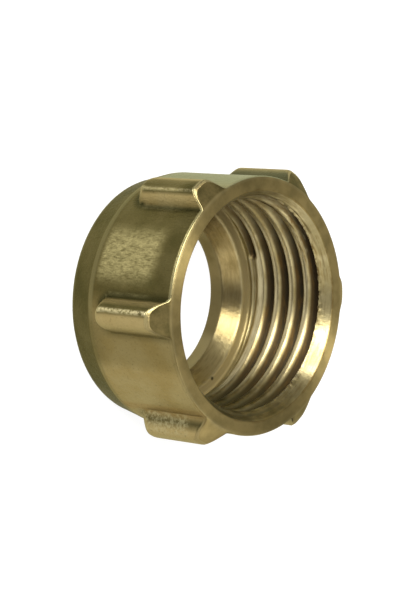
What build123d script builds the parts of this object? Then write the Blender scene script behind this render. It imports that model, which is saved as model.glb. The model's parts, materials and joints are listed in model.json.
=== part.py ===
from build123d import *
import math
import os

# A brass compression nut: a short round sleeve with six grip ribs, threaded at the mouth and
# closed at the rear down to a hole that lets the pipe through. Millimetres and degrees.
# The nut stands on its rear face, with the axis on Z and the threaded mouth on top.

# The pipe thread that everything is built round: half inch parallel, fourteen turns to the inch
thread_major_diameter = 20.955
thread_pitch = 25.4 / 14
thread_angle = 55.0
thread_depth = 0.8275
thread_root_width = 0.30
thread_end_direction = 76.0
thread_end_above_relief = 0.15
thread_run_past_mouth = 1.0

# Driving dimensions of the outside
nut_length = 13.0
body_wall = 1.3225
rear_taper_length = 3.1
rear_taper_angle = 13.0
rear_edge_round = 0.35
taper_line_round = 1.2

# Driving dimensions of the ribs
rib_count = 6
rib_height = 1.75
rib_root_width = 3.85
rib_crest_width = 1.6
rib_crest_round = 0.7
rib_root_round = 0.4
rib_nose_gap = 1.05

# The cone turned across the rib ends and the rim of the mouth
mouth_cone_angle = 53.5
mouth_rim_bevel = 0.14

# Driving dimensions of the inside, from the rear face up
pipe_diameter = 15.0
pipe_clearance = 0.25
pipe_bore_length = 1.5
seat_angle = 45.0
shoulder_width = 0.95
relief_undercut = 0.5
relief_length = 1.3
mouth_clearance = 0.0225
mouth_lead_angle = 35.0

# Places that follow from the driving dimensions
thread_major_radius = thread_major_diameter / 2
thread_minor_radius = thread_major_radius - thread_depth
thread_flank_slope = math.tan(math.radians(thread_angle / 2))
thread_cutter_width = thread_root_width + 2 * (thread_depth + thread_depth) * thread_flank_slope
body_radius = thread_major_radius + body_wall
rib_radius = body_radius + rib_height
rear_face_radius = body_radius - rear_taper_length * math.tan(math.radians(rear_taper_angle))
rib_nose_centre_height = rear_taper_length + rib_nose_gap + rib_root_width / 2
rib_foot_height = rear_taper_length + rib_nose_gap / 2
rib_core_radius = body_radius - rib_height
cone_reach = rib_radius + rib_height
cone_face_radius = body_radius - mouth_rim_bevel
cone_foot_height = nut_length - (cone_reach - cone_face_radius) / math.tan(math.radians(mouth_cone_angle))
pipe_bore_radius = pipe_diameter / 2 + pipe_clearance
relief_radius = thread_minor_radius + relief_undercut
seat_radius = relief_radius - shoulder_width
shoulder_height = pipe_bore_length + (seat_radius - pipe_bore_radius) / math.tan(math.radians(seat_angle))
relief_top = shoulder_height + relief_length
mouth_radius = thread_major_radius + mouth_clearance
lead_depth = (mouth_radius - thread_minor_radius) / math.tan(math.radians(mouth_lead_angle))
thread_end_height = relief_top + thread_end_above_relief

# One rib on +X: a trapezoid with rounded crest corners, ending at the rear in a nose that turns
# the same half section about the radial line, and hollow root corners all round
rib_root_depth = math.sqrt(body_radius**2 - (rib_root_width / 2) ** 2)
rib_flank_slope = (rib_root_width - rib_crest_width) / 2 / (rib_radius - rib_root_depth)
rib_core_width = rib_root_width + 2 * (rib_root_depth - rib_core_radius) * rib_flank_slope
with BuildPart() as rib:
    with BuildSketch(Plane.XY.offset(rib_nose_centre_height)) as rib_section:
        with BuildLine():
            Polyline(
                (rib_core_radius, -rib_core_width / 2),
                (rib_radius, -rib_crest_width / 2),
                (rib_radius, rib_crest_width / 2),
                (rib_core_radius, rib_core_width / 2),
                close=True,
            )
        make_face()
        crest_corners = rib_section.vertices().group_by(Axis.X)[-1]
        fillet(crest_corners, rib_crest_round)
    extrude(amount=nut_length - rib_nose_centre_height)
    with BuildSketch(Plane.XY) as nose_section:
        with BuildLine():
            Polyline(
                (rib_core_radius, 0),
                (rib_radius, 0),
                (rib_radius, rib_crest_width / 2),
                (rib_core_radius, rib_core_width / 2),
                close=True,
            )
        make_face()
        crest_corner = nose_section.vertices().sort_by_distance((rib_radius, rib_crest_width / 2, 0))[0]
        fillet(crest_corner, rib_crest_round)
    nose = revolve(nose_section.sketch, axis=Axis.X, mode=Mode.PRIVATE)
    add(nose.translate((0, 0, rib_nose_centre_height)))
    with Locations((0, 0, rib_foot_height)):
        Cylinder(body_radius, nut_length - rib_foot_height, align=(Align.CENTER, Align.CENTER, Align.MIN))
    body_wall = rib.faces().filter_by(GeomType.CYLINDER).sort_by(Axis.X)[0]
    root_edges = body_wall.edges().filter_by(lambda edge: edge.center().X > 0)
    fillet(root_edges, rib_root_round)

# The cutter of the thread: it starts just above the relief, climbs on a helix and leaves at the
# mouth. Its section reaches as far inside the bore as it cuts into the wall.
with BuildPart() as thread_groove:
    helix_height = nut_length - thread_end_height + thread_run_past_mouth
    with BuildLine() as helix_path:
        Helix(thread_pitch, helix_height, thread_minor_radius, center=(0, 0, thread_end_height))
    helix_start = helix_path.line @ 0
    with BuildSketch(Plane(helix_start, x_dir=(1, 0, 0), z_dir=helix_path.line % 0)) as groove_section:
        with BuildLine():
            Polyline(
                (-thread_depth, -thread_cutter_width / 2),
                (thread_depth, -thread_root_width / 2),
                (thread_depth, thread_root_width / 2),
                (-thread_depth, thread_cutter_width / 2),
                close=True,
            )
        make_face()
    sweep(path=helix_path.line, is_frenet=True)

with BuildPart() as compression_nut:
    # The round body, with its tapered rear end
    with BuildSketch(Plane.XZ) as body_profile:
        with BuildLine():
            Polyline(
                (0, 0),
                (rear_face_radius, 0),
                (body_radius, rear_taper_length),
                (body_radius, nut_length),
                (0, nut_length),
                close=True,
            )
        make_face()
        fillet(body_profile.vertices().sort_by_distance((rear_face_radius, 0, 0))[0], rear_edge_round)
        taper_corner = (body_radius, rear_taper_length, 0)
        fillet(body_profile.vertices().sort_by_distance(taper_corner)[0], taper_line_round)
    revolve(axis=Axis.Z)

    # The grip ribs
    with PolarLocations(0, rib_count):
        add(rib.part)

    # The cone turned across the rib ends and the rim
    with BuildSketch(Plane.XZ) as mouth_cone:
        with BuildLine():
            Polyline(
                (cone_face_radius, nut_length),
                (cone_reach, cone_foot_height),
                (cone_reach, nut_length),
                close=True,
            )
        make_face()
    revolve(axis=Axis.Z, mode=Mode.SUBTRACT)

    # The inside: pipe bore, cone seat, shoulder, relief, threaded bore and lead-in
    with BuildSketch(Plane.XZ) as bore_profile:
        with BuildLine():
            Polyline(
                (0, 0),
                (pipe_bore_radius, 0),
                (pipe_bore_radius, pipe_bore_length),
                (seat_radius, shoulder_height),
                (relief_radius, shoulder_height),
                (relief_radius, relief_top),
                (thread_minor_radius, relief_top),
                (thread_minor_radius, nut_length - lead_depth),
                (mouth_radius, nut_length),
                (0, nut_length),
                close=True,
            )
        make_face()
    revolve(axis=Axis.Z, mode=Mode.SUBTRACT)

    # The thread
    add(thread_groove.part.rotate(Axis.Z, thread_end_direction), mode=Mode.SUBTRACT)

compression_nut.part.label = "compression_nut"

os.makedirs("parts", exist_ok=True)
export_step(compression_nut.part, "parts/compression_nut.step")
print("nut volume in cubic millimetres:", round(compression_nut.part.volume, 1))
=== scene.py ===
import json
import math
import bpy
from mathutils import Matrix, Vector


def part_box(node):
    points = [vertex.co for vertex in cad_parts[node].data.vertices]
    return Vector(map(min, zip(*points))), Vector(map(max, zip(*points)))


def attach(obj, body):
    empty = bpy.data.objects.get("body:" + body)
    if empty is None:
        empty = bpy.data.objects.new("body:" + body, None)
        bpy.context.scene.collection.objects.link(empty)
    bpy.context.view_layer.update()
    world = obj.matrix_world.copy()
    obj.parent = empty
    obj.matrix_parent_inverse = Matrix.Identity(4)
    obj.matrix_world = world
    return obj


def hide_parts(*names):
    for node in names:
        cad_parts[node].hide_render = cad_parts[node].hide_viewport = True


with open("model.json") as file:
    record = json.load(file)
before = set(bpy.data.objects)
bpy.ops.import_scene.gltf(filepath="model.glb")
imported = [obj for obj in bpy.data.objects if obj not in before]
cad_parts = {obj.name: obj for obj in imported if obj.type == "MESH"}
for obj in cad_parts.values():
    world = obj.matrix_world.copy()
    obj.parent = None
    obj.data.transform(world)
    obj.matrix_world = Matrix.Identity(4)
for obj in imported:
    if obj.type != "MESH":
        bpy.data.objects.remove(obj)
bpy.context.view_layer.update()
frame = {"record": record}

# %% [markdown]
# # A brass compression nut
# The nut is one piece of brass. It is forged hot into a round sleeve with six grip ribs, and then
# turned and threaded in a lathe. So it has two kinds of surface. The outside keeps the dull,
# blotchy skin of the forging. The mouth, the cone across the rib ends and the inside are cut metal.
#
# The frame holds the nut's true size and its mounts, so the sizes that other pieces rely on are
# read from it. Sizes here are in millimetres, and the finished mesh is scaled to metres.

# %% The frame's sizes
from types import SimpleNamespace

import bmesh
import bpy
import numpy as np
from mathutils import Matrix, Vector

MM = 0.001
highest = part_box("compression_nut")[1]
nut_length = highest.z / MM
rib_radius = highest.x / MM
mount_sizes = {mount["name"]: mount["dims"] for mount in frame["record"]["mounts"]}
thread_minor_radius = mount_sizes["thread"]["r_mm"]
pipe_bore_radius = mount_sizes["pipe_bore"]["r_mm"]
pipe_bore_length = mount_sizes["pipe_bore"]["length_mm"]
print("nut length", round(nut_length, 3), "radius over the ribs", round(rib_radius, 3))
print("thread crests at radius", thread_minor_radius, "pipe bore at radius", pipe_bore_radius)

# %% [markdown]
# ## The sizes of the real nut
# A nut like this is drawn as half a section and turned round its axis, so its sizes are radii and
# heights. It stands on its rear face, with the axis on Z and the mouth on top. The rear end tapers,
# so that the forging leaves its die. The cone is turned across the rib ends, down to the rim.

# %% The outside
rib_count = 6
rib_height = 1.75
body_radius = rib_radius - rib_height
rear_taper_length = 3.1
rear_taper_angle = math.radians(13)
rear_face_radius = body_radius - rear_taper_length * math.tan(rear_taper_angle)
cone_angle = math.radians(53.5)
mouth_rim_bevel = 0.14
face_radius = body_radius - mouth_rim_bevel
cone_foot = nut_length - mouth_rim_bevel / math.tan(cone_angle)
print("body radius", round(body_radius, 3), "edge of the mouth face", round(face_radius, 3))

# %% [markdown]
# A rib is widest at its root, and its rear end is a round nose. Its width is measured along a
# circle about halfway up the rib. From rib_end_start on, the rows of the mesh lean more and more,
# until the last one lies along the edge of the cone that ends the rib.

# %% The ribs
rib_arc_radius = 12.7
rib_crest_half = 0.8
rib_root_half = 1.8
rib_slope = rib_height / (rib_root_half - rib_crest_half)
rib_nose_gap = 1.05
rib_nose_round = 1.925
rib_nose_height = rear_taper_length + rib_nose_gap + rib_nose_round
rib_end_start = 10.0
flank_angle = math.degrees(math.atan(rib_slope))
print("each rib rises", rib_height, "mm on a flank of", round(flank_angle), "degrees")

# %% [markdown]
# The thread is half inch parallel pipe thread: 14 turns to the inch, with flanks at 55 degrees to
# each other. In the photograph it lies a quarter of a millimetre lower than in the solid, and the
# relief behind it is shorter, so both have their own sizes here. What others rely on, the radius
# of the crests and the bore for the pipe, is the frame's.

# %% The thread
MM_IN_AN_INCH = 25.4
TURNS_TO_THE_INCH = 14
thread_pitch = MM_IN_AN_INCH / TURNS_TO_THE_INCH
thread_major_radius = 20.955 / 2
thread_depth = thread_major_radius - thread_minor_radius
thread_flank_angle = math.radians(55 / 2)
groove_half_root = 0.15
groove_half_width = groove_half_root + thread_depth * math.tan(thread_flank_angle)
print("thread pitch", round(thread_pitch, 4), "depth", round(thread_depth, 4))

# %% From the rear face up: the pipe bore, the cone seat, the shoulder and the relief
relief_undercut = 0.5
relief_radius = thread_minor_radius + relief_undercut
shoulder_width = 0.95
seat_radius = relief_radius - shoulder_width
seat_angle = math.radians(45)
shoulder_height = pipe_bore_length + (seat_radius - pipe_bore_radius) / math.tan(seat_angle)
relief_length = 0.75
relief_top = shoulder_height + relief_length
thread_end_above_relief = 0.43
thread_end_height = relief_top + thread_end_above_relief
thread_end_turn = 76 / 360
print("shoulder at", round(shoulder_height, 2), "thread ends at", round(thread_end_height, 2))

# %% The lead-in at the mouth, a short cone that lets the thread of the fitting start
mouth_clearance = 0.0225
mouth_radius = thread_major_radius + mouth_clearance
lead_slope = math.tan(math.radians(35))
lead_foot = nut_length - (mouth_radius - thread_minor_radius) / lead_slope
groove_end = nut_length - 0.5
groove_run_out = 0.3
print("lead-in from", round(lead_foot, 2), "to", round(nut_length, 2))

# %% [markdown]
# ## Small helpers for node trees
# Both the shape and the finishes are made of nodes. One function adds a node and joins its inputs.
# A field is a number that a tree works out for each point, so it gets ordinary arithmetic: a
# formula in the script then reads like the formula in a drawing.

# %% One function that adds a node
def add_node(tree, kind, inputs=None, **settings):
    node = tree.nodes.new(kind)
    for name, value in settings.items():
        setattr(node, name, value)
    for key, value in (inputs or {}).items():
        socket = node.inputs[key]
        if isinstance(value, Field):
            value = value.socket
        if isinstance(value, bpy.types.NodeSocket):
            tree.links.new(value, socket)
        else:
            socket.default_value = value
    return node


# %% A field with ordinary arithmetic
class Field:
    """A number that a node tree works out for each point."""

    def __init__(self, tree, socket):
        self.tree = tree
        self.socket = socket

    def math(self, operation, *others, clamp=False):
        values = dict(enumerate((self, *others)))
        node = add_node(self.tree, "ShaderNodeMath", values, operation=operation, use_clamp=clamp)
        return Field(self.tree, node.outputs[0])

    def __add__(self, other):
        return self.math("ADD", other)

    def __radd__(self, other):
        return self.math("ADD", other)

    def __sub__(self, other):
        return self.math("SUBTRACT", other)

    def __rsub__(self, other):
        return self.math("MULTIPLY", -1.0).math("ADD", other)

    def __mul__(self, other):
        return self.math("MULTIPLY", other)

    def __rmul__(self, other):
        return self.math("MULTIPLY", other)

    def __truediv__(self, other):
        return self.math("DIVIDE", other)

    def __rtruediv__(self, other):
        return self.math("POWER", -1.0) * other

    def clamped(self):
        """Kept between 0 and 1."""
        return self.math("ADD", 0.0, clamp=True)

    def share(self, low, high):
        """0 at low, 1 at high, straight between and level outside."""
        return ((self - low) / (high - low)).clamped()

    def smooth_step(self, low, high):
        """0 at low, 1 at high, eased at both ends."""
        part = self.share(low, high)
        return part * part * (3.0 - 2.0 * part)

    def past(self, limit, blur=0.1):
        """0 below a limit and 1 above it, eased over the blur on each side."""
        return self.smooth_step(limit - blur, limit + blur)

    def short_of(self, limit, blur=0.1):
        """1 below a limit and 0 above it, eased over the blur on each side."""
        return 1.0 - self.past(limit, blur)

    def near(self, centre, inner, outer):
        """1 within inner of a centre and 0 beyond outer, straight between."""
        return 1.0 - (self - centre).math("ABSOLUTE").share(inner, outer)


# %% [markdown]
# ## The half section
# The wall of the nut is one closed outline, from the middle of the rear face out, up the outside,
# over the mouth and down the inside. A corner has a small edge break, because a turned or forged
# edge is never sharp, and it is the edge break that catches the light. A corner also says how much
# of the rib's rise it takes, and how far it slides down with the cone that cuts the rib ends.
# Between two corners all of these change evenly. Each leg has its own finish.

# %% The corners of the section
FORGED, TURNED, THREADED, SEAT = range(4)
REAR_START = (9.4, 0.0)


def corner(radius, height, finish, steps=1, edge=0.0, worn=0.0, rib=0, slide=0):
    """The steps and the finish are those of the leg before it, and worn is how bright its edge is."""
    place = np.array([radius, height])
    return dict(place=place, edge=edge, worn=worn, rib=rib, slide=slide, steps=steps, finish=finish)


outside = [
    corner(*REAR_START, FORGED),
    corner(rear_face_radius, 0.0, FORGED, steps=6, edge=0.35, worn=0.3),
    corner(body_radius, rear_taper_length, FORGED, steps=14, edge=0.2, worn=0.4, rib=1),
    corner(body_radius, rib_end_start, FORGED, steps=34, rib=1),
    corner(body_radius, cone_foot, FORGED, steps=14, edge=0.12, worn=1.0, rib=1, slide=1),
    corner(face_radius, nut_length, TURNED, steps=8, edge=0.06, worn=0.2),
    corner(mouth_radius, nut_length, TURNED, steps=6, edge=0.08),
]
inside = [
    corner(relief_radius, relief_top, THREADED),
    corner(relief_radius, shoulder_height, THREADED, steps=6, edge=0.25),
    corner(seat_radius, shoulder_height, SEAT, steps=5, edge=0.15, worn=0.6),
    corner(pipe_bore_radius, pipe_bore_length, SEAT, steps=10, edge=0.12, worn=0.2),
    corner(pipe_bore_radius, 0.0, SEAT, steps=6, edge=0.15, worn=0.2),
    corner(*REAR_START, FORGED, steps=5),
]
print("the section has", len(outside) + len(inside), "corners")

# %% Stations along the section
ROUND_STEPS = 4


def toward(start, goal, length):
    line = goal - start
    return start + line / np.linalg.norm(line) * length


def station(place, rib, slide, finish, edge=0.0, helical=0.0):
    return dict(place=place, rib=rib, slide=slide, finish=finish, edge=edge, helical=helical)


def round_corner(before, here, after):
    """The edge break: a quadratic curve from one leg to the next."""
    enter = toward(here["place"], before, here["edge"])
    leave = toward(here["place"], after, here["edge"])
    made = []
    for step in range(ROUND_STEPS + 1):
        t = step / ROUND_STEPS
        place = (1 - t) ** 2 * enter + 2 * t * (1 - t) * here["place"] + t**2 * leave
        made.append(station(place, here["rib"], here["slide"], here["finish"], edge=here["worn"]))
    return made


def leg(start, end, steps, finish):
    """The stations strictly between two others."""
    made = []
    for step in range(1, steps):
        t = step / steps
        values = [start[key] + (end[key] - start[key]) * t for key in ("place", "rib", "slide")]
        made.append(station(*values, finish))
    return made


# %% Walking round the section
def walk(corners, after_last):
    """All the stations along a run of corners. after_last is where the run goes on to."""
    first = corners[0]
    made = [station(first["place"], first["rib"], first["slide"], corners[1]["finish"])]
    following = [end["place"] for end in corners[2:]] + [after_last]
    for before, here, after in zip(corners, corners[1:], following):
        if here["edge"] > 0:
            ending = round_corner(before["place"], here, after)
        else:
            ending = [station(here["place"], here["rib"], here["slide"], here["finish"])]
        made += leg(made[-1], ending[0], here["steps"], here["finish"])
        made += ending
    return made


lead_in_foot = np.array([thread_minor_radius, lead_foot])
outside_run = walk(outside, lead_in_foot)
inside_run = walk(inside, None)
lead_top = outside_run[-1]["place"][1]
print("stations outside", len(outside_run), "and inside", len(inside_run))

# %% [markdown]
# ## The thread's rows
# A screw thread is a section that climbs as it turns. The rows of the mesh inside the nut climb in
# the same way, one pitch in a full turn, so that they run along the edges of the groove and keep
# them crisp. After one turn each row meets the row one lap above it, and the seam closes. The
# first and the last lap reach past both ends of the thread, and the tree holds them back there.

# %% One lap of rows after another, from the top down
ROWS_A_LAP = 20
FIRST_LAP = 5
LAST_LAP = -1


def thread_stations():
    made = []
    for lap in range(FIRST_LAP, LAST_LAP - 1, -1):
        for row in range(ROWS_A_LAP):
            turns = lap + 0.5 - row / ROWS_A_LAP - thread_end_turn
            place = np.array([thread_minor_radius, thread_end_height + thread_pitch * turns])
            made.append(station(place, 0, 0, THREADED, helical=1.0))
    return made


stations = outside_run + thread_stations() + inside_run
print("rows in all", len(stations))

# %% The section as an object that carries its values
CARRIED = ("rib", "slide", "finish", "edge", "helical")


def put_in_scene(name, data):
    made = bpy.data.objects.new(name, data)
    bpy.context.scene.collection.objects.link(made)
    return made


def section_object(name, stations):
    mesh = bpy.data.meshes.new(name)
    mesh.from_pydata([(each["place"][0], 0.0, each["place"][1]) for each in stations], [], [])
    for key in CARRIED:
        values = np.array([each[key] for each in stations], np.float32)
        mesh.attributes.new(key, "FLOAT", "POINT").data.foreach_set("value", values)
    return put_in_scene(name, mesh)


nut = section_object("nut_body", stations)
print("section vertices", len(nut.data.vertices))

# %% [markdown]
# ## The nut from its section
# The tree lays a flat grid, one column for each direction round the axis and one row for each
# station, and then rolls it up. It has the ribs, the cone, the thread and the small unevenness of
# the forging as formulas, so a size in the tree's inputs changes the whole nut. A boolean of
# separate ribs and a swept thread would give the same form with worse edges.

# %% The tree's inputs
def new_tree(name, sizes):
    tree = bpy.data.node_groups.new(name, "GeometryNodeTree")
    tree.interface.new_socket("Geometry", in_out="INPUT", socket_type="NodeSocketGeometry")
    for key, value in sizes.items():
        kind = "NodeSocketInt" if isinstance(value, int) else "NodeSocketFloat"
        tree.interface.new_socket(key, in_out="INPUT", socket_type=kind)
    tree.interface.new_socket("Geometry", in_out="OUTPUT", socket_type="NodeSocketGeometry")
    return tree


COLUMNS_A_RIB = 42
nut_sizes = {
    "Columns": COLUMNS_A_RIB * rib_count,
    "Rib Count": rib_count,
    "Rib Height": rib_height,
    "Thread Pitch": thread_pitch,
    "Thread Depth": thread_depth,
    "Forging Roughness": 0.045,
    "Seed": 3,
}
tree = new_tree("turned_nut", nut_sizes)
group_in = add_node(tree, "NodeGroupInput")
group_out = add_node(tree, "NodeGroupOutput")
sizes = {key: Field(tree, group_in.outputs[key]) for key in nut_sizes}
print("tree inputs:", ", ".join(nut_sizes))

# %% Values that the tree reads by name, and marks that it keeps
def read_by_name(name):
    node = add_node(tree, "GeometryNodeInputNamedAttribute", {"Name": name}, data_type="FLOAT")
    return Field(tree, node.outputs["Attribute"])


def keep(geometry, **marks):
    """Writes marks on the points, for later steps and for the finishes."""
    for name, value in marks.items():
        inputs = {"Geometry": geometry, "Name": name, "Value": value}
        kept = add_node(
            tree, "GeometryNodeStoreNamedAttribute", inputs, data_type="FLOAT", domain="POINT"
        )
        geometry = kept.outputs["Geometry"]
    return geometry


named = {name: read_by_name(name) for name in ("column", "row", *CARRIED)}
print("read by name:", ", ".join(named))

# %% The flat grid, numbered in columns and rows
section = group_in.outputs["Geometry"]
counted = add_node(tree, "GeometryNodeAttributeDomainSize", {"Geometry": section})
rows = Field(tree, counted.outputs["Point Count"])
grid_size = {
    "Size X": sizes["Columns"],
    "Size Y": rows - 1.0,
    "Vertices X": sizes["Columns"] + 1.0,
    "Vertices Y": rows,
}
grid = add_node(tree, "GeometryNodeMeshGrid", grid_size)
position = add_node(tree, "GeometryNodeInputPosition").outputs[0]
flat = add_node(tree, "ShaderNodeSeparateXYZ", {"Vector": position})
column_number = Field(tree, flat.outputs["X"]) + sizes["Columns"] / 2.0
row_number = Field(tree, flat.outputs["Y"]) + (rows - 1.0) / 2.0
numbered = keep(grid.outputs["Mesh"], column=column_number, row=row_number)
print("the grid has a row for each of", len(stations), "stations")

# %% What each row takes from its station
def from_station(value, row, data_type="FLOAT"):
    inputs = {"Geometry": section, "Value": value, "Index": row}
    node = add_node(tree, "GeometryNodeSampleIndex", inputs, data_type=data_type, domain="POINT")
    return node.outputs["Value"]


row = named["row"].math("ROUND")
section_place = from_station(position, row, "FLOAT_VECTOR")
place = add_node(tree, "ShaderNodeSeparateXYZ", {"Vector": section_place})
plain_radius = Field(tree, place.outputs["X"])
plain_height = Field(tree, place.outputs["Z"])
rib_share, slide_share, edge_share, helical = (
    Field(tree, from_station(named[key], row)) for key in ("rib", "slide", "edge", "helical")
)
print("each row knows its radius, its height and its share of rib, slide, edge and thread")

# %% [markdown]
# The columns stand closer together on the ribs, where the surface turns quickly. Each sector of
# sixty degrees has its rib in the middle, and a cubic pulls the columns in towards it.

# %% Directions round the axis
COLUMN_PULL = 0.5
sector_position = named["column"] / sizes["Columns"] * sizes["Rib Count"]
sector_number = sector_position.math("ROUND")
across = (sector_position - sector_number) * 2.0
sector_angle = 2 * math.pi / sizes["Rib Count"]
from_rib = across * (COLUMN_PULL + (1 - COLUMN_PULL) * across * across) * sector_angle / 2.0
angle = sector_number * sector_angle + from_rib
cosine = angle.math("COSINE")
sine = angle.math("SINE")
print("columns run round", rib_count, "sectors")

# %% [markdown]
# ## The ribs
# A rib is a flank that rises from the body, capped at the rib's height. Forged metal doesn't fill a
# die's corners, so both bends are round: the crest by CREST_ROUND and the root by ROOT_ROUND. The
# nose is the same flank, seen from the rib's end, and its power above 2 makes it fuller than a
# half circle. The ribs of the real nut differ a little: one stands lower, and one has a longer
# nose.

# %% The rise of a rib
CREST_ROUND = 1.2
ROOT_ROUND = 0.22
LOW_RIB = 3
LOW_RIB_DROP = 0.15
is_low = sector_number.near(LOW_RIB, 0.0, 1.0)
this_rib_height = sizes["Rib Height"] * (1.0 - LOW_RIB_DROP * is_low)


def rib_rise(reach):
    """How far a rib stands off the body, at a distance from its middle line."""
    flank = rib_slope * (rib_root_half - reach)
    capped = flank.math("SMOOTH_MIN", this_rib_height, CREST_ROUND)
    return capped.math("SMOOTH_MAX", 0.0, ROOT_ROUND)


rib_offset = (from_rib * rib_arc_radius).math("ABSOLUTE")
rise_at_mouth = rib_rise(rib_offset)
corner_drop = rise_at_mouth / math.tan(cone_angle)
outer_height = plain_height - slide_share * corner_drop
print("rib", LOW_RIB, "stands", LOW_RIB_DROP * rib_height, "mm lower than the others")

# %% The nose of a rib
NOSE_FULLNESS = 2.2
WORN_RIB = 2
LONG_NOSE = 0.35
is_worn = sector_number.near(WORN_RIB, 0.0, 1.0)
nose_reach = (rib_nose_height - LONG_NOSE * is_worn - outer_height).math("MAXIMUM", 0.0)
reach = rib_offset.math("POWER", NOSE_FULLNESS) + nose_reach.math("POWER", NOSE_FULLNESS)
reach = reach.math("POWER", 1.0 / NOSE_FULLNESS)
print("the noses are round to the power", NOSE_FULLNESS)

# %% [markdown]
# At the mouth the cone cuts each rib off, and there the real ribs differ too. The edge of one end
# is worn round over most of a millimetre. Three others are worn less and stand a little fuller.
# The wear is a smooth minimum of the rib before the cone and the cone itself, and it leaves the
# body's own edge as it is.

# %% The end of a rib
END_WEAR = 0.9
LESS_WORN = 0.6
FULL_END = 0.22
FULL_END_START = 0.1
is_full = 1.0 - sector_number.near(LOW_RIB, 1.0, 2.0)
rise_share = rise_at_mouth / rib_height
end_wear = END_WEAR * (is_worn + LESS_WORN * is_full) * rise_share
before_cone = body_radius + rib_rise(reach)
on_cone = face_radius + (nut_length - outer_height) * math.tan(cone_angle)
sharp_end = before_cone.math("MINIMUM", on_cone)
worn_off = before_cone.math("SMOOTH_MIN", on_cone, end_wear) - sharp_end
swelling = 4.0 * rib_share * (1.0 - rib_share) * slide_share.share(0.0, FULL_END_START)
full_end = FULL_END * is_full * rise_share * swelling
outer_radius = plain_radius + rib_share * rib_rise(reach) + worn_off + full_end
print("rib", WORN_RIB, "has a worn end of", END_WEAR, "mm")

# %% [markdown]
# ## The thread
# A tap cuts the groove. It begins square, a little above the relief, and half a turn before its
# start the tap left a faint mark. The crests are worn round, and the bottom of the groove is
# hollow. Inside the nut the rows climb with the angle, held between the relief and the mouth.

# %% Which lap of the thread a point is on
turn_share = angle / (2 * math.pi)
climbing = plain_height + sizes["Thread Pitch"] * turn_share
inner_height = climbing.math("MAXIMUM", relief_top).math("MINIMUM", lead_top)
turns = (inner_height - thread_end_height) / sizes["Thread Pitch"] - turn_share + thread_end_turn
lap = turns.math("ROUND")
since_start = lap + turn_share - thread_end_turn
above_foot = inner_height - lead_foot
print("the thread starts", round(360 * thread_end_turn), "degrees round from the first rib")

# %% [markdown]
# The mouth of the real nut shows two kinds of damage. The edge where the groove runs out into the
# lead-in is torn into small burrs all round. On one side there are chatter marks, and the lead-in
# and the last crest are rippled. Both are noise that runs round the bore, and so has no seam.
# Where they lie is given in millimetres above the foot of the lead-in.

# %% Burrs and chatter
BURR_WAVES = 24.0
CHATTER_WAVES = 2.0
CHATTER_LINES = 4.0
CHATTER_SIDE = 116
WORKED_MIDDLE = -0.55
WORKED_REACH = (0.6, 1.2)


def ripple(around, along, detail):
    """Noise from -0.5 to 0.5, with so many waves to a radian and to a millimetre of height."""
    place = {"X": cosine * around, "Y": sine * around, "Z": inner_height * along}
    vector = add_node(tree, "ShaderNodeCombineXYZ", place).outputs[0]
    inputs = {"Vector": vector, "Scale": 1.0, "Detail": detail}
    return Field(tree, add_node(tree, "ShaderNodeTexNoise", inputs).outputs["Fac"]) - 0.5


def toward_side(direction, inner, outer):
    """1 within the inner angle of a direction round the axis, and 0 beyond the outer. In degrees."""
    nearness = (angle - math.radians(direction)).math("COSINE")
    return nearness.smooth_step(math.cos(math.radians(outer)), math.cos(math.radians(inner)))


burr = ripple(BURR_WAVES, 0.0, detail=3.0)
chatter = ripple(CHATTER_WAVES, CHATTER_LINES, detail=2.0)
to_chatter = toward_side(CHATTER_SIDE, 20, 60)
worked = to_chatter * above_foot.near(WORKED_MIDDLE, *WORKED_REACH)
print("the chatter is on the side at", CHATTER_SIDE, "degrees")

# %% [markdown]
# The groove is a flank on each side of the helix's middle line, held at the depth of the cut. The
# depth is nothing long before the tap's start, grows to a faint mark in the half turn before it,
# and is full after it. The two smooth limits make the hollow bottom and the worn crests. From just
# below the lead-in the burrs push the groove's edge to and fro, and near the mouth it fades out.

# %% The groove
HALF_TURN_MARK = 0.18
CREST_WEAR = 0.7
ROOT_HOLLOW = 0.25
GROOVE_START_TURNS = 0.014
EDGE_TEAR = 0.5
from_groove = (turns - lap).math("ABSOLUTE") * sizes["Thread Pitch"]
from_groove = from_groove + EDGE_TEAR * burr * above_foot.share(-0.3, 0.0)
full_cut = since_start.smooth_step(0.0, GROOVE_START_TURNS)
faint_cut = HALF_TURN_MARK * since_start.share(-0.5, 0.0)
cut_depth = full_cut.math("MAXIMUM", faint_cut) * sizes["Thread Depth"]
flank_steepness = thread_depth / (groove_half_width - groove_half_root)
flank = (groove_half_width - from_groove) * flank_steepness + cut_depth - sizes["Thread Depth"]
groove_floor = flank.math("SMOOTH_MIN", cut_depth, ROOT_HOLLOW)
depth = groove_floor.math("SMOOTH_MAX", 0.0, CREST_WEAR)
depth = depth * (1.0 - inner_height.smooth_step(groove_end - groove_run_out, groove_end))
print("groove of", round(thread_depth, 3), "mm, worn by", CREST_WEAR, "at its crests")

# %% [markdown]
# The lead-in is a cone, and wherever it is wider than the thread it is the surface that is left.
# So the groove opens into it by itself, and the burrs and the chatter move the line where they
# meet.

# %% The lead-in
BURR_SIZE = 0.42
CHATTER_SIZE = 1.4
CHATTER_DEPTH = 0.25
cone_height = above_foot + BURR_SIZE * burr * (1.0 - above_foot.share(0.1, 0.5))
cone_height = cone_height + CHATTER_SIZE * chatter * to_chatter * (1.0 - above_foot.share(0.2, 0.8))
lead_radius = thread_minor_radius + cone_height * lead_slope
cut_radius = thread_minor_radius + depth
inner_radius = cut_radius.math("MAXIMUM", lead_radius) + CHATTER_DEPTH * chatter * worked
print("lead-in at", round(math.degrees(math.atan(lead_slope))), "degrees to the axis")

# %% [markdown]
# Every point now has two radii and two heights, one of the plain section with its ribs and one of
# the thread. The rows of the thread take the second, all others the first, and the flat grid is
# rolled up.

# %% Rolling the grid up
def choose(switch, off, on):
    return off + (on - off) * switch


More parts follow.
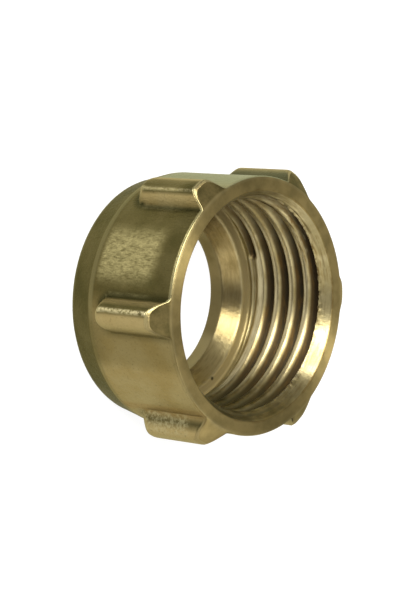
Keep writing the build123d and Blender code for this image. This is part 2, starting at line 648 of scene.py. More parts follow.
radius = choose(helical, outer_radius, inner_radius)
height = choose(helical, outer_height, inner_height)
rolled_axes = {"X": radius * cosine, "Y": radius * sine, "Z": height}
rolled_place = add_node(tree, "ShaderNodeCombineXYZ", rolled_axes).outputs[0]
print("each point has its radius, its direction and its height")

# %% [markdown]
# The finishes need to know where dirt and painted shade gather and where metal shines, so the tree
# keeps four marks on the points: the recess of grooves and rib roots, the bright edges, the torn
# edge of the lead-in on the side where it shows, and the zone of the chatter marks.

# %% The marks that the finishes read
# The width of the rib-root recess, where painted shade lies.
ROOT_SHADE_WIDTH = 0.7
TORN_WIDTH = 0.3
TORN_SIDE = 62
rib_recess = rib_share * reach.near(rib_root_half, 0.0, ROOT_SHADE_WIDTH)
meeting = cut_radius.near(lead_radius, 0.0, TORN_WIDTH) * above_foot.share(-0.25, -0.05)
marked = keep(
    numbered,
    recess=choose(helical, rib_recess, depth / sizes["Thread Depth"]),
    edge=edge_share,
    torn=helical * meeting * toward_side(TORN_SIDE, 50, 70),
    worked=helical * worked,
)
rolled_inputs = {"Geometry": marked, "Position": rolled_place}
rolled = add_node(tree, "GeometryNodeSetPosition", rolled_inputs).outputs["Geometry"]
print("marks kept: recess, edge, torn and worked")

# %% [markdown]
# ## Finishes
# Brass is copper and zinc. Freshly turned it is a pale yellow, and the air darkens it to olive and
# brown. A hexadecimal colour is what a screen shows, and a material needs the linear value. Each
# finish starts as plain brass, and wear, tarnish and dirt are laid over it one after another, as
# they came, together with painted light and shade. Where a layer lies comes from a mark, from the
# side of the nut, or from the radius and the height, always on the object itself, so that it stays
# in place from every view.

# %% Colours
def linear(hexadecimal):
    """A screen colour such as 9A8558 as the linear colour that a material takes."""
    parts = [int(hexadecimal[i : i + 2], 16) / 255 for i in (0, 2, 4)]
    made = [part / 12.92 if part <= 0.04045 else ((part + 0.055) / 1.055) ** 2.4 for part in parts]
    return (*made, 1.0)


def new_material(name):
    material = bpy.data.materials.new(name)
    material.use_nodes = True
    material.node_tree.nodes.clear()
    return material


print("brass in linear light:", [round(part, 3) for part in linear("A8945F")])


# %% [markdown]
# A Mix node has sockets of the same names for numbers, vectors and colours, so the ones for colours
# are reached by their place in the list.

# %% A finish in the making
MIX_SHARE, MIX_UNDER, MIX_OVER, MIXED = 0, 6, 7, 2


class Finish:
    """A material while it is being made: where each point lies, and its colour so far."""

    def __init__(self, name, colour, marks):
        self.material = new_material(name)
        self.tree = self.material.node_tree
        self.colour = linear(colour)
        self.place = add_node(self.tree, "ShaderNodeTexCoord").outputs["Object"]
        split = add_node(self.tree, "ShaderNodeSeparateXYZ", {"Vector": self.place})
        self.x, self.y, self.height = (Field(self.tree, split.outputs[axis]) / MM for axis in "XYZ")
        self.radius = (self.x * self.x + self.y * self.y).math("SQRT")
        for mark in marks:
            read = add_node(self.tree, "ShaderNodeAttribute", attribute_name=mark)
            setattr(self, mark, Field(self.tree, read.outputs["Fac"]))

    def paint(self, share, colour, strength=1.0):
        """Lays a colour over what is there, as strongly as its share says at each point."""
        inputs = {MIX_SHARE: share * strength, MIX_UNDER: self.colour, MIX_OVER: linear(colour)}
        self.colour = add_node(self.tree, "ShaderNodeMix", inputs, data_type="RGBA").outputs[MIXED]

    def side(self, direction, inner, outer):
        """1 within the inner angle of a direction round the axis, 0 beyond the outer. In degrees."""
        turned = math.radians(direction)
        nearness = (self.x * math.cos(turned) + self.y * math.sin(turned)) / self.radius
        return nearness.smooth_step(math.cos(math.radians(outer)), math.cos(math.radians(inner)))

    def spot(self, place, inner, outer):
        """1 within inner millimetres of a place, and 0 beyond outer."""
        ends = {0: self.place, 1: Vector(place) * MM}
        far = add_node(self.tree, "ShaderNodeVectorMath", ends, operation="DISTANCE")
        return 1.0 - (Field(self.tree, far.outputs["Value"]) / MM).share(inner, outer)

    def pattern(self, size, detail=3.0, stretch=(1, 1, 1), roughness=0.55, shift=0.0):
        """Noise whose blotches are about size millimetres across."""
        scale = [1 / (size * MM * longer) for longer in stretch]
        moved = {"Vector": self.place, "Location": (shift,) * 3, "Scale": scale}
        mapping = add_node(self.tree, "ShaderNodeMapping", moved)
        inputs = {"Vector": mapping.outputs[0], "Scale": 1.0, "Detail": detail, "Roughness": roughness}
        return Field(self.tree, add_node(self.tree, "ShaderNodeTexNoise", inputs).outputs["Fac"])

    def rings(self, spacing):
        """Fine lines round the axis, a spacing apart along both the radius and the height."""
        across = {"X": self.radius / spacing, "Y": self.height / spacing}
        vector = add_node(self.tree, "ShaderNodeCombineXYZ", across).outputs[0]
        inputs = {"Vector": vector, "Scale": 1.0, "Detail": 2.0}
        return Field(self.tree, add_node(self.tree, "ShaderNodeTexNoise", inputs).outputs["Fac"])


# %% [markdown]
# Turned metal scatters light across its tool lines more than along them. The lines run round the
# axis, so the tangent does too, and the highlight is turned by a quarter. At a low angle the shader
# would reflect pure white, and the tint keeps that a little darker and yellower. As for any metal,
# the IOR stays as the shader has it.

# %% Brass, whatever lies on it
QUARTER_TURN = 0.25
EDGE_TINT = "E2E2C8"


def as_brass(skin, rough, surface, depth, strength, metallic=1.0, anisotropy=0.0):
    """The finished material. The surface is a bump, so many millimetres deep at its full height."""
    bumped = {"Height": surface, "Distance": depth * MM, "Strength": strength}
    bump = add_node(skin.tree, "ShaderNodeBump", bumped).outputs[0]
    around = add_node(skin.tree, "ShaderNodeTangent", direction_type="RADIAL", axis="Z").outputs[0]
    inputs = {
        "Base Color": skin.colour,
        "Metallic": metallic,
        "Roughness": rough,
        "Normal": bump,
        "Anisotropic": anisotropy,
        "Anisotropic Rotation": QUARTER_TURN,
        "Tangent": around,
        "Specular Tint": linear(EDGE_TINT),
    }
    shader = add_node(skin.tree, "ShaderNodeBsdfPrincipled", inputs)
    add_node(skin.tree, "ShaderNodeOutputMaterial", {"Surface": shader.outputs[0]})
    print(skin.material.name, "is made of", len(skin.tree.nodes), "nodes")
    return skin.material


# %% [markdown]
# ## The forged skin
# Hot brass is pressed in a die and shot blasted, which leaves a dull, finely wrinkled skin. The
# patterns are as large as the real marks: broad blotches of tarnish, and wrinkles that run along
# the nut. The grit of the blasting is finer than that, and its specks are drawn a quarter of a
# millimetre wide so that they show.

# %% Patterns and zones of the forged skin
def forged_patterns(skin):
    return SimpleNamespace(
        blotches=skin.pattern(3.0, detail=4.0),
        specks=skin.pattern(0.25),
        wrinkles=skin.pattern(0.38, detail=4.0, stretch=(1, 1, 2.5), shift=2.0),
        fine_wrinkles=skin.pattern(0.14, stretch=(1, 1, 3), roughness=0.65, shift=5.0),
        crumple=skin.pattern(0.26, shift=13.0),
    )


def forged_zones(skin):
    """Where the skin differs: on the ribs, on the taper, in the painted shade, on a crumpled flank, on a
    worn edge with a painted highlight.
    """
    crumpled = skin.side(294, 1.5, 3.5) * skin.height.past(4.4, 0.4) * skin.height.short_of(10.7, 0.5)
    taper = 1.0 - skin.height.share(rear_taper_length - 0.3, rear_taper_length)
    return SimpleNamespace(
        on_rib=skin.radius.past(body_radius + 0.45, 0.25),
        taper=taper,
        # The painted shade of the shaded side, and of the taper.
        painted_dark=skin.patina.math("MAXIMUM", taper),
        crumpled=crumpled,
        # Worn edges on the lit side, where a highlight is painted.
        worn_edge_highlight=skin.edge * skin.side(205, 28, 42),
    )


# %% [markdown]
# The ribs are painted paler. The taper and one side of the nut are painted dark olive as shade,
# the barrel has painted shade beside the taper line and beneath a rib, and the shaded side is
# painted darkest near the mouth.

# %% Tarnish and painted shade on the forged skin
def lay_tarnish_and_shade(skin, pattern, zone):
    skin.paint(pattern.blotches.smooth_step(0.3, 0.7), "897749")
    skin.paint(zone.on_rib, "9E8D60", strength=0.55)
    # Painted shade: the shaded side and the taper are painted dark olive, with blotches.
    skin.paint(zone.painted_dark * (0.9 + 0.5 * (pattern.blotches - 0.5)), "453F22")
    # Painted shade on the barrel beside the taper line.
    shade_by_taper = skin.side(236, 20, 34) * (1.0 - skin.height.smooth_step(rear_taper_length, 5.4))
    skin.paint(shade_by_taper * skin.height.share(2.6, 2.8), "4E4424", strength=0.5)
    # Painted shade on the barrel beneath a rib.
    shade_under_rib = skin.side(254, 5, 13) * (1.0 - zone.on_rib) * (1.0 - zone.taper)
    skin.paint(shade_under_rib, "5A4E2A", strength=0.45)
    # Painted shade, darkest near the mouth on the shaded side.
    shade_by_mouth = skin.patina * skin.height.smooth_step(10.2, 11.4)
    skin.paint(shade_by_mouth, "2E2C18", strength=0.25)


# %% [markdown]
# Between two ribs, on the shaded side, a highlight is painted as a patch that shines in short
# streaks. Its ends are ragged, because the blotches shift them up and down. On the crests of the
# same side, glints are painted in specks.

# %% The painted sheen patch and the painted glints on the crests
def lay_painted_sheen(skin, pattern):
    # A painted highlight: a streaked patch on the shaded side between two ribs.
    ragged_height = skin.height + 0.6 * (pattern.blotches - 0.5)
    sheen_patch = skin.sheen * ragged_height.past(3.7, 0.5) * ragged_height.short_of(10.2, 0.8)
    streaks = 0.66 + 1.5 * (pattern.wrinkles - 0.5) + 2.0 * (pattern.fine_wrinkles - 0.5)
    skin.paint(sheen_patch * streaks.clamped(), "968C60")
    # Painted glints on the rib crests of the same side.
    on_crest = skin.sheen * skin.height.past(3.7, 0.5) * skin.radius.past(12.7, 0.3)
    painted_glint = pattern.specks.smooth_step(0.35, 0.6) * (0.26 + 0.62 * skin.side(240, 20, 40))
    skin.paint(on_crest * painted_glint, "C8BC92")


# %% [markdown]
# The hollow roots of the ribs are painted dark as shade, most on the shaded side. The lit side of
# the barrel has a painted grey sheen, and brown shows beside one rib. One rib's flank is finely
# crumpled, so that pale and dark change there every quarter of a millimetre.

# %% Painted shade in the rib roots, a painted grey sheen, dirt and the crumpled flank
def lay_root_shade_sheen_and_dirt(skin, pattern, zone):
    # A painted grey sheen on the lit side of the barrel.
    grey_sheen_side = skin.side(150, 10, 30) * skin.height.past(3.2, 0.2)
    skin.paint(grey_sheen_side, "828A70", strength=0.66)
    # Painted shade in the rib roots, darkest on the shaded side.
    skin.paint(skin.recess * (0.42 + 0.68 * zone.painted_dark).math("MINIMUM", 1.0), "2A2814")
    by_rib = skin.side(289.3, 1, 4) * (1.0 - zone.taper) * (1.0 - zone.on_rib)
    skin.paint(by_rib, "80602F", strength=0.35)
    skin.paint(zone.crumpled * pattern.crumple.smooth_step(0.38, 0.66), "A8A078", strength=0.45)
    skin.paint(pattern.specks.smooth_step(0.58, 0.75), "3A3218", strength=0.35)


# %% Rubbed forged edges: painted shade at the taper line and rib-end feet, painted highlight on one side
def lay_edges(skin, zone):
    # Painted shade on the taper line's edge.
    taper_line_shade = skin.edge * (1.0 - skin.height.share(3.3, 3.6))
    skin.paint(taper_line_shade, "564E2C")
    skin.paint(skin.edge, "958B5E", strength=0.12)
    # A painted highlight on the worn edges of the lit side.
    skin.paint(zone.worn_edge_highlight, "A09870", strength=0.35)
    # Painted shade on the edge at the foot of the rib ends.
    rib_end_foot_shade = skin.edge * skin.side(265, 14, 24) * zone.on_rib
    skin.paint(rib_end_foot_shade, "5A5230", strength=0.8)


# %% The forged skin: dull, wrinkled brass, smoother where its edges are rubbed
def forged_brass():
    skin = Finish("forged_brass_skin", "938459", ("recess", "edge", "patina", "sheen"))
    pattern = forged_patterns(skin)
    zone = forged_zones(skin)
    lay_tarnish_and_shade(skin, pattern, zone)
    lay_painted_sheen(skin, pattern)
    lay_root_shade_sheen_and_dirt(skin, pattern, zone)
    lay_edges(skin, zone)
    rough = 0.42 + 0.15 * pattern.specks - 0.2 * zone.worn_edge_highlight
    surface = 0.4 * pattern.specks + 0.8 * pattern.wrinkles + 0.5 * pattern.fine_wrinkles
    surface = surface + 0.4 * pattern.blotches + 0.4 * zone.crumpled * pattern.crumple
    return as_brass(skin, rough, surface * (1.0 - skin.edge), depth=0.12, strength=0.7)


# %% [markdown]
# ## The turned metal
# The mouth, the thread and the seat are cut in a lathe and left bright, with fine tool lines round
# the axis. The real lines are closer than a tenth of a millimetre, and are drawn a little wider so
# that they show. The three finishes differ in colour, in gloss and in the spacing of their lines,
# and share the same layers, because tarnish, darkening and painted shade don't stop where one
# tool takes over.

# %% Patterns and zones of the turned metal
def turned_patterns(metal, line_spacing):
    return SimpleNamespace(
        blotches=metal.pattern(2.0, detail=4.0, shift=7.0),
        lines=metal.rings(line_spacing),
        streaks=metal.pattern(0.16, stretch=(10, 10, 1), roughness=0.6, shift=9.0),
        specks=metal.pattern(0.3, detail=2.0, shift=3.0),
        mottling=metal.pattern(0.9, shift=11.0),
    )


def turned_zones(metal):
    """Where the metal differs: on the thread, in its grooves, on the side where shade is painted, on the
    seat, in relief and bore.
    """
    in_thread = metal.radius.past(thread_minor_radius - 0.1, 0.05)
    in_thread = in_thread * metal.radius.short_of(mouth_radius + 0.15, 0.05)
    within_seat = metal.radius.short_of(seat_radius - 0.1, 0.05)
    in_bore = metal.height.short_of(pipe_bore_length)
    painted_shade_side = metal.side(25, 45, 90)
    return SimpleNamespace(
        thread=in_thread * metal.height.past(shoulder_height + 0.25),
        painted_shade_side=painted_shade_side,
        # Tarnish in the grooves, with painted shade darkening one side.
        groove=metal.recess.smooth_step(0.04, 0.45) * (0.45 + 0.5 * painted_shade_side),
        within_seat=within_seat,
        seat=within_seat * (1.0 - in_bore),
        relief=metal.radius.past(seat_radius) * metal.height.short_of(relief_top),
        bore=in_bore,
    )


# %% [markdown]
# The thread's crests are rubbed pale, and its grooves hold brown tarnish, with painted shade that
# makes them darkest on one side. Fine brown streaks run along the cut, and among the chatter marks
# there are pale ones as well. The rim's outer edge is painted dark as shade on the side where the
# barrel's shade is painted.

# %% The rim and the thread
def lay_thread_wear_and_shade(metal, pattern, zone, tarnish):
    # Painted shade on the rim's outer edge, on the side where the barrel's shade is painted.
    outer_rim_shade = metal.radius.past(body_radius) * metal.side(178, 66, 84)
    cloudy = 0.5 + 0.5 * (pattern.specks - 0.5) + 0.8 * (pattern.blotches - 0.5)
    metal.paint(outer_rim_shade * cloudy, "403F1E")
    crest = metal.radius.near(thread_minor_radius, 0.05, 0.12) * (1.0 - metal.recess.share(0.0, 0.2))
    metal.paint(crest, "D8CEAC", strength=0.42)
    # Brown tarnish in the grooves, with painted shade on one side.
    metal.paint(zone.groove, "38270F")
    # Tarnish on the groove floors, with painted shade on one side.
    groove_floor = metal.recess.smooth_step(0.55, 0.95) * (0.35 + 0.6 * zone.painted_shade_side)
    metal.paint(groove_floor, tarnish)
    brown = pattern.streaks.smooth_step(0.45, 0.68) * zone.thread * (0.4 + 0.5 * metal.worked)
    metal.paint(brown, "6A4E22")
    pale_streak = (1.0 - pattern.streaks.smooth_step(0.3, 0.42)) * metal.worked
    metal.paint(pale_streak, "D0C090", strength=0.6)


# %% Darker inside on one side and mostly in the thread, and edges that stay bright
def lay_inside_darkening(metal, pattern, zone):
    # Darker towards one side inside, mostly in the thread, in mottled patches.
    darker_side_inside = metal.side(312, 25, 65) * metal.radius.short_of(mouth_radius - 0.05, 0.15)
    mottled = 0.66 + 0.9 * (pattern.mottling - 0.5)
    inside_darkening = darker_side_inside * (0.3 + 0.7 * zone.thread) * mottled
    metal.paint(inside_darkening.clamped(), "4A4629")
    metal.paint(metal.edge, "C8BC90", strength=0.6)


# %% [markdown]
# The seat is a smooth cone, with painted shade on one side and a painted highlight next to that.
# The relief and the bore for the pipe are painted darker. The flat shoulder between them is bright
# with painted light, with one pit in it drawn as a spot of painted shade, and faint streaks lie on
# the seat.

# %% The seat, the shoulder, the relief and the bore
PIT_PLACE = (9.35, -0.1, 2.95)


def lay_seat_light_and_wear(metal, pattern, zone):
    # Painted shade on one side of the seat, and a painted highlight next to it.
    metal.paint(metal.side(42, 14, 30) * zone.within_seat, "6E6446", strength=0.6)
    metal.paint(metal.side(5, 14, 26) * zone.within_seat, "C4B482", strength=0.6)
    # The relief and the bore are painted darker.
    metal.paint(zone.relief, "7C6E44", strength=0.6)
    metal.paint(zone.bore, "4A4224", strength=0.55)
    # The shoulder is painted bright: painted light.
    shoulder = metal.radius.past(seat_radius, 0.05)
    shoulder = shoulder * metal.height.short_of(shoulder_height + 0.15, 0.05)
    metal.paint(shoulder * (1.0 - zone.bore), "A89666", strength=0.8)
    # The pit is a spot of painted shade; the mesh has no pit.
    metal.paint(metal.spot(PIT_PLACE, 0.1, 0.25), "1E1A0E", strength=0.9)
    metal.paint(zone.seat * pattern.streaks.smooth_step(0.42, 0.62), "6C5C34", strength=0.3)


# %% [markdown]
# The torn edge of the lead-in is pale on its burrs and brown in its tears. On the same side the
# last groove is painted almost black with shade as it runs out, and at one place a nick is drawn as
# a spot of painted shade.

# %% The torn edge, and painted shade in the last groove
NICK_PLACE = (9.75, 2.1, 11.55)
LAST_GROOVE_HEIGHT = 11.6


def lay_torn_edge_and_shade(metal, pattern):
    metal.paint(metal.torn * pattern.specks.smooth_step(0.52, 0.62), "C0B080", strength=0.6)
    metal.paint(metal.torn * pattern.specks.short_of(0.45, 0.05), "5A4420", strength=0.75)
    running_out = metal.height + metal.radius - thread_minor_radius
    # Painted shade: the last groove almost black as it runs out.
    last_groove_shade = metal.recess.smooth_step(0.1, 0.4) * running_out.past(LAST_GROOVE_HEIGHT, 0.3)
    metal.paint(last_groove_shade * metal.side(50, 50, 70), "2A1E0E", strength=0.88)
    # The nick is a spot of painted shade.
    metal.paint(metal.spot(NICK_PLACE, 0.3, 0.5), "2A1E0E", strength=0.8)


# %% [markdown]
# A lathe tool leaves even lines, so the highlight is drawn out strongly across them. A tap rubs as
# it cuts, and its surface draws the highlight out less. Dirt isn't metal, so the grooves and the
# relief are partly dull.

# %% Turned metal: bright brass with tool lines round the axis
LATHE_ANISOTROPY = 0.9
TAP_ANISOTROPY = 0.65


def turned_brass(name, bright, dull, tarnish, roughness, line_spacing, is_tapped=False):
    metal = Finish(name, bright, ("recess", "edge", "torn", "worked"))
    pattern = turned_patterns(metal, line_spacing)
    zone = turned_zones(metal)
    metal.paint(pattern.blotches.smooth_step(0.35, 0.7), dull)
    lay_thread_wear_and_shade(metal, pattern, zone, tarnish)
    lay_inside_darkening(metal, pattern, zone)
    lay_seat_light_and_wear(metal, pattern, zone)
    lay_torn_edge_and_shade(metal, pattern)
    rough = roughness + 0.1 * pattern.blotches + 0.2 * metal.recess
    surface = 0.5 * pattern.lines + 0.4 * pattern.specks + 0.5 * zone.seat * pattern.streaks
    metallic = 1.0 - 0.3 * zone.groove - 0.5 * zone.relief
    anisotropy = LATHE_ANISOTROPY
    if is_tapped:
        below_lead_in = zone.thread * metal.height.short_of(lead_foot)
        anisotropy = LATHE_ANISOTROPY - (LATHE_ANISOTROPY - TAP_ANISOTROPY) * below_lead_in
    return as_brass(
        metal, rough, surface, depth=0.04, strength=0.5, metallic=metallic, anisotropy=anisotropy
    )


# %% [markdown]
# ## The four materials
# Forged skin is brass as it left the die. Turned face is the mouth and the cone, which are somewhat
# matt. Tapped thread is paler and glossier. Turned seat is the smoothest, because it has to seal.

# %% The four materials
face_cut = dict(bright="A8945F", dull="8C7C4E", tarnish="3A2E16", roughness=0.4, line_spacing=0.12)
thread_cut = dict(bright="BCAE80", dull="A09060", tarnish="30291A", roughness=0.3, line_spacing=0.2)
seat_cut = dict(bright="A08D5E", dull="88764A", tarnish="3A2E16", roughness=0.26, line_spacing=0.15)
finishes = {
    FORGED: forged_brass(),
    TURNED: turned_brass("turned_brass_face", **face_cut),
    THREADED: turned_brass("tapped_brass_thread", **thread_cut, is_tapped=True),
    SEAT: turned_brass("turned_brass_seat", **seat_cut),
}
print("finishes:", ", ".join(material.name for material in finishes.values()))

# %% [markdown]
# ## The finish of each strip
# A face takes its finish from the station at its lower edge, so the border between forged skin and
# turned cone is one clean line round each rib end, as a lathe tool leaves it. Then the points that
# meet at the seam and at the two ends of the section are welded, and the shell is closed.

# %% Giving each strip its finish
WELD_DISTANCE = 0.002
NUMBER_TOLERANCE = 0.25


def finish_of_face():
    inputs = {"Value": named["row"]}
    face_row = add_node(tree, "GeometryNodeFieldOnDomain", inputs, data_type="FLOAT", domain="FACE")
    row_below = Field(tree, face_row.outputs[0]).math("FLOOR")
    return Field(tree, from_station(named["finish"], row_below))


def give_finish(geometry, material, number):
    compared = {"A": finish_of_face(), "B": float(number), "Epsilon": NUMBER_TOLERANCE}
    chosen = add_node(tree, "FunctionNodeCompare", compared, data_type="FLOAT", operation="EQUAL")
    inputs = {"Geometry": geometry, "Selection": chosen.outputs["Result"], "Material": material}
    return add_node(tree, "GeometryNodeSetMaterial", inputs).outputs["Geometry"]


forged_first = {"Geometry": rolled, "Material": finishes[FORGED]}
surface = add_node(tree, "GeometryNodeSetMaterial", forged_first).outputs["Geometry"]
for number, material in finishes.items():
    surface = give_finish(surface, material, number)
welded = add_node(tree, "GeometryNodeMergeByDistance", {"Geometry": surface, "Distance": WELD_DISTANCE})
print("strips with their own finish:", len(finishes))

# %% [markdown]
# A forging is never quite even. Its skin sinks by a few hundredths of a millimetre here and there,
# and never rises, so that the nut stays inside its true size. The cut faces and the edges stay as
# they are.

# %% The unevenness of the forging
GRAIN_SIZE = 2.2
GRAIN_DETAIL = 3.0
grain_inputs = {
    "Vector": add_node(tree, "GeometryNodeInputPosition").outputs[0],
    "W": sizes["Seed"],
    "Scale": 1 / GRAIN_SIZE,
    "Detail": GRAIN_DETAIL,
}
grain = add_node(tree, "ShaderNodeTexNoise", grain_inputs, noise_dimensions="4D").outputs["Fac"]
point_finish = Field(tree, from_station(named["finish"], named["row"].math("ROUND")))
is_forged = 1.0 - point_finish.share(FORGED, TURNED)
sinking = (Field(tree, grain) - 1.0) * sizes["Forging Roughness"] * is_forged * (1.0 - named["edge"])
normal = add_node(tree, "GeometryNodeInputNormal").outputs[0]
push = add_node(tree, "ShaderNodeVectorMath", {0: normal, "Scale": sinking}, operation="SCALE")
moved = {"Geometry": welded.outputs["Geometry"], "Offset": push.outputs[0]}
uneven = add_node(tree, "GeometryNodeSetPosition", moved).outputs["Geometry"]
print("the skin sinks by up to", nut_sizes["Forging Roughness"], "mm")

# %% [markdown]
# Painted shade lies on what faces one way, flanks of ribs too, so it is kept as a mark that comes
# from the normal and not from the place. The painted sheen is a narrow strip of it where a highlight
# is painted.

# %% Painted shade and painted sheen
DARK_SIDE = 206
DARK_SPREAD = (0.82, 0.92)
SHEEN_SIDE = 213
SHEEN_SPREAD = (0.1, 0.27)


def facing(direction):
    """The cosine of the angle between the surface's normal and a direction round the axis."""
    turned = math.radians(direction)
    vectors = {0: normal, 1: (math.cos(turned), math.sin(turned), 0.0)}
    node = add_node(tree, "ShaderNodeVectorMath", vectors, operation="DOT_PRODUCT")
    return Field(tree, node.outputs["Value"])


# Painted shade: the surface that faces DARK_SIDE is painted dark.
patina = facing(DARK_SIDE).smooth_step(*DARK_SPREAD)
off_sheen = facing(SHEEN_SIDE + 90).math("ABSOLUTE")
# Painted sheen: a narrow strip of that side where a highlight is painted.
sheen = (1.0 - off_sheen.smooth_step(*SHEEN_SPREAD)) * patina
with_shade_marks = keep(uneven, patina=patina, sheen=sheen)
print("patina faces", DARK_SIDE, "degrees, sheen", SHEEN_SIDE)

# %% [markdown]
# The shape is finished, and it is scaled to metres. Its faces are shaded smooth, and only edges
# that turn sharply stay crisp, such as the upper corner of the relief. Realize Instances ends the
# tree, so that what leaves it is one real mesh.

# %% Metres, smooth faces and crisp edges
SHARP_ANGLE = math.radians(32)
in_metres = add_node(tree, "GeometryNodeTransform", {"Geometry": with_shade_marks, "Scale": (MM, MM, MM)})
all_smooth = {"Geometry": in_metres.outputs["Geometry"]}
smooth = add_node(tree, "GeometryNodeSetShadeSmooth", all_smooth, domain="FACE")
edge_angle = Field(tree, add_node(tree, "GeometryNodeInputMeshEdgeAngle").outputs["Unsigned Angle"])
is_sharp = add_node(
    tree, "FunctionNodeCompare", {"A": edge_angle, "B": SHARP_ANGLE}, data_type="FLOAT"
)
sharp_edges = {
    "Geometry": smooth.outputs["Geometry"],
    "Selection": is_sharp.outputs["Result"],
    "Shade Smooth": False,
}
crisp = add_node(tree, "GeometryNodeSetShadeSmooth", sharp_edges, domain="EDGE")
realized = add_node(tree, "GeometryNodeRealizeInstances", {"Geometry": crisp.outputs["Geometry"]})
tree.links.new(realized.outputs["Geometry"], group_out.inputs["Geometry"])
print("edges sharper than", round(math.degrees(SHARP_ANGLE)), "degrees stay crisp")

# %% [markdown]
# ## The nut as a plain mesh
# The modifier gets its sizes, and its result is kept as a plain mesh in place of the section. An
# empty material slot that the modifier leaves is taken out. Then the mesh is measured: a closed
# shell with its faces outwards has no open edge and a volume above zero.

# %% Running the tree
def make_plain(made, tree, values):
    modifier = made.modifiers.new("shape", "NODES")
    modifier.node_group = tree
    sockets = {item.name: item.identifier for item in tree.interface.items_tree if item.in_out == "INPUT"}
    for key, value in values.items():
        modifier[sockets[key]] = value
    evaluated = made.evaluated_get(bpy.context.evaluated_depsgraph_get())
    mesh = bpy.data.meshes.new_from_object(evaluated)
    for number in reversed(range(len(mesh.materials))):
        if mesh.materials[number] is None:
            mesh.materials.pop(index=number)
    made.modifiers.remove(modifier)
    made.data = mesh


make_plain(nut, tree, nut_sizes)
nut.data.name = "nut_body"
print("nut mesh:", len(nut.data.vertices), "vertices", len(nut.data.polygons), "faces")

# %% Measuring the mesh
measured = bmesh.new()
measured.from_mesh(nut.data)
open_edges = sum(1 for edge in measured.edges if not edge.is_manifold)
volume = measured.calc_volume(signed=True) / MM**3
measured.free()
print("volume in cubic millimetres", round(volume, 1), "open edges", open_edges)

# %% [markdown]
# The nut is one piece on the object's one body, and it is shown in place of the solid.

# %% The nut rides on its body and stands for the solid
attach(nut, "root")
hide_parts("compression_nut")
print("materials:", ", ".join(material.name for material in nut.data.materials))

# %% [markdown]
# ## Camera
# The camera stands where the photograph was taken from, as found by fitting circles to the rim, the
# rear hole and the outline. It looks into the mouth, 42 degrees down from the level, at a point
# close to the middle of the nut. It is rolled by a little over a quarter turn, so that the axis
# points to the right. The focal length is in pixels of a frame 601 pixels high, and the lens
# follows from it.

# %% The camera
IMAGE_HEIGHT = 601
FOCAL_PIXELS = 2254.93
SENSOR = 36.0
CAMERA_AZIMUTH = 230.4997
CAMERA_ELEVATION = 41.9591
CAMERA_ROLL = math.radians(95.5404)
CAMERA_DISTANCE = 207.523
camera_aim = Vector((-0.5195, -0.6132, nut_length / 2))


def outward(azimuth, elevation):
    """The direction round the axis and above the level, in degrees."""
    around, above = math.radians(azimuth), math.radians(elevation)
    flat = math.cos(above)
    return Vector((flat * math.cos(around), flat * math.sin(around), math.sin(above)))


def facing_back(aim, direction, distance):
    """A place out along a direction, turned so that its own Z axis points away from the aim."""
    turned = direction.to_track_quat("Z", "Y").to_matrix().to_4x4()
    return Matrix.Translation((aim + direction * distance) * MM) @ turned


camera_data = bpy.data.cameras.new("camera")
camera_data.sensor_width = SENSOR
camera_data.lens = FOCAL_PIXELS * SENSOR / IMAGE_HEIGHT
camera_data.clip_start = 0.01
camera = put_in_scene("camera", camera_data)
upright = facing_back(camera_aim, outward(CAMERA_AZIMUTH, CAMERA_ELEVATION), CAMERA_DISTANCE)
camera.matrix_world = upright @ Matrix.Rotation(CAMERA_ROLL, 4, "Z")
bpy.context.scene.camera = camera
print("lens", round(camera_data.lens, 2))

# %% [markdown]
# ## Floor and light
# A plain pale floor carries the nut's soft shadow. To the camera, and in the metal's reflections,
# it glows a little, so that it reads as a white sheet without more light on the nut.

# %% The floor
FLOOR_HALF = 0.6
FLOOR_GLOW = 0.82
RAYS_THAT_SEE_IT_GLOW = ("Is Camera Ray", "Is Glossy Ray", "Is Transmission Ray")


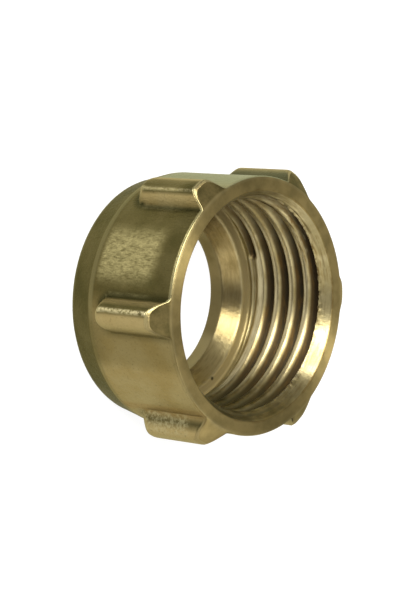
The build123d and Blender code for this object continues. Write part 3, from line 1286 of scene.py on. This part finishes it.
def pale_floor(glow):
    material = new_material("pale_floor")
    tree = material.node_tree
    path = add_node(tree, "ShaderNodeLightPath")
    camera_ray, glossy_ray, through_ray = (
        Field(tree, path.outputs[kind]) for kind in RAYS_THAT_SEE_IT_GLOW
    )
    seen = (camera_ray + glossy_ray + through_ray).clamped()
    diffuse = add_node(tree, "ShaderNodeBsdfDiffuse", {"Color": linear("969694")})
    light = add_node(tree, "ShaderNodeEmission", {"Color": linear("FFFFFF"), "Strength": seen * glow})
    both = add_node(tree, "ShaderNodeAddShader", {0: diffuse.outputs[0], 1: light.outputs[0]})
    add_node(tree, "ShaderNodeOutputMaterial", {"Surface": both.outputs[0]})
    return material


floor_mesh = bpy.data.meshes.new("floor")
floor_signs = ((-1, -1), (1, -1), (1, 1), (-1, 1))
floor_corners = [(x * FLOOR_HALF, y * FLOOR_HALF, 0) for x, y in floor_signs]
floor_mesh.from_pydata(floor_corners, [], [(0, 1, 2, 3)])
floor_mesh.materials.append(pale_floor(FLOOR_GLOW))
floor = put_in_scene("floor", floor_mesh)
print("floor", 2 * FLOOR_HALF, "metres wide")

# %% [markdown]
# One large soft light and a few weaker ones give the highlights that the photograph shows. The key
# is an ellipse, because its shape shows as the long highlight on the seat, and a rectangle would
# end that highlight squarely. A low strip below it carries the glints on the thread's crests and
# the lead-in further round. Three weaker cards fill the seat and the inside of the mouth from the
# other side, and the white world lights what they leave.

# %% Lamps and world
LAMP_DISTANCE = 500
WORLD_STRENGTH = 0.5


def lamp(name, azimuth, elevation, width, height, watts, shape="RECTANGLE"):
    """A soft flat lamp that looks at the nut. Angles in degrees, its size in metres."""
    data = bpy.data.lights.new(name, "AREA")
    data.shape = shape
    data.size = width
    data.size_y = height
    data.energy = watts
    middle = Vector((0, 0, nut_length / 2))
    made = put_in_scene(name, data)
    made.matrix_world = facing_back(middle, outward(azimuth, elevation), LAMP_DISTANCE)


lamp("key_softbox", 200, 36, width=0.22, height=0.74, watts=4.5, shape="ELLIPSE")
lamp("low_strip", 180, 17, width=0.16, height=0.28, watts=1.5)
lamp("fill_card", 278, 47, width=0.27, height=0.3, watts=0.32)
lamp("side_card", 325, 40, width=0.5, height=0.3, watts=0.48)
lamp("low_card", 348, 22, width=0.25, height=0.3, watts=0.17)

world = bpy.data.worlds.new("studio")
world.use_nodes = True
background = world.node_tree.nodes["Background"]
background.inputs["Color"].default_value = linear("FFFFFF")
background.inputs["Strength"].default_value = WORLD_STRENGTH
bpy.context.scene.world = world
bpy.context.scene.view_settings.view_transform = "Standard"
print("lamps:", ", ".join(light.name for light in bpy.data.lights))
